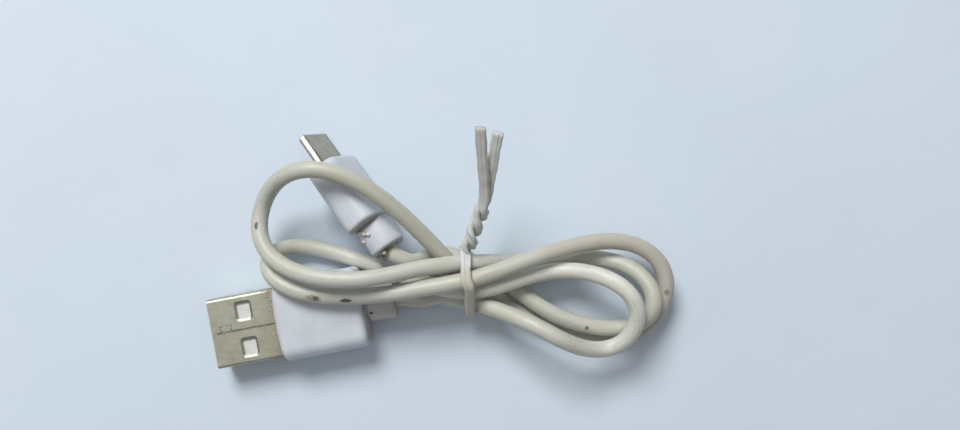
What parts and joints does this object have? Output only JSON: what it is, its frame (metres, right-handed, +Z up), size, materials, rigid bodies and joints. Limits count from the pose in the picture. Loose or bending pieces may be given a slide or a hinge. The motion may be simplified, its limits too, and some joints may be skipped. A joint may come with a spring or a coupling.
{
  "type": "charging cable",
  "caption": "Short cream charging cable with a type-A plug and a micro-B plug, folded to and fro and held at the middle by a twist tie.",
  "frame": {"origin": "on the surface that the cable lies on, under the middle of the box round the two plugs and the tie, the cord left out", "axes": "+X from the type-A plug's mouth towards the far loops of the cord, +Y towards the micro-B plug's mouth, +Z up from the surface"},
  "size_m": [0.0806, 0.0408, 0.0221],
  "materials": {
    "steel": "folded nickel-plated sheet, faintly worn",
    "gold": "gold-plated strip",
    "grip": "smooth bluish-white flexible vinyl",
    "cord": "cream vinyl jacket, slightly glossy, lightly soiled",
    "tongue": "white moulded plastic",
    "insulator": "black moulded plastic",
    "inner_mould": "milky moulded plastic",
    "wire_red": "smooth insulation",
    "wire_white": "smooth insulation",
    "wire_green": "smooth insulation",
    "wire_black": "smooth insulation",
    "tie": "ribbed greyish-white plastic over a wire core"
  },
  "bodies": {
    "cable": {"type_a_shell": "steel", "type_a_tongue": "tongue", "type_a_contact_power": "gold", "type_a_contact_data_minus": "gold", "type_a_contact_data_plus": "gold", "type_a_contact_ground": "gold", "type_a_inner_mould": "inner_mould", "type_a_overmould": "grip", "type_a_wire_red": "wire_red", "type_a_wire_white": "wire_white", "type_a_wire_green": "wire_green", "type_a_wire_black": "wire_black", "micro_b_shell": "steel", "micro_b_insulator": "insulator", "micro_b_contact_power": "gold", "micro_b_contact_data_minus": "gold", "micro_b_contact_data_plus": "gold", "micro_b_contact_id": "gold", "micro_b_contact_ground": "gold", "micro_b_inner_mould": "inner_mould", "micro_b_overmould": "grip", "micro_b_wire_red": "wire_red", "micro_b_wire_white": "wire_white", "micro_b_wire_green": "wire_green", "micro_b_wire_black": "wire_black", "micro_b_lead": "cord", "cord_hank": "cord", "type_a_lead": "cord", "tie_ribbon": "tie", "tie_core": "steel"},
    "micro_b_latch_upper": {"micro_b_latch_upper": "steel"},
    "micro_b_latch_lower": {"micro_b_latch_lower": "steel"}
  },
  "joints": [
    {"name": "micro_b_latch_upper_flex", "type": "hinge", "parent": "cable", "child": "micro_b_latch_upper", "pos_m": [-0.00391, 0.01227, 0.00714], "axis": [0.3789, 0.1158, -0.9182], "range_deg": [0, 4], "stiffness_Nm_per_rad": 0.02, "springref_deg": -1.15},
    {"name": "micro_b_latch_lower_flex", "type": "hinge", "parent": "cable", "child": "micro_b_latch_lower", "pos_m": [-0.00232, 0.01276, 0.00329], "axis": [0.3789, 0.1158, -0.9182], "range_deg": [0, 4], "stiffness_Nm_per_rad": 0.02, "springref_deg": -1.15}
  ]
}
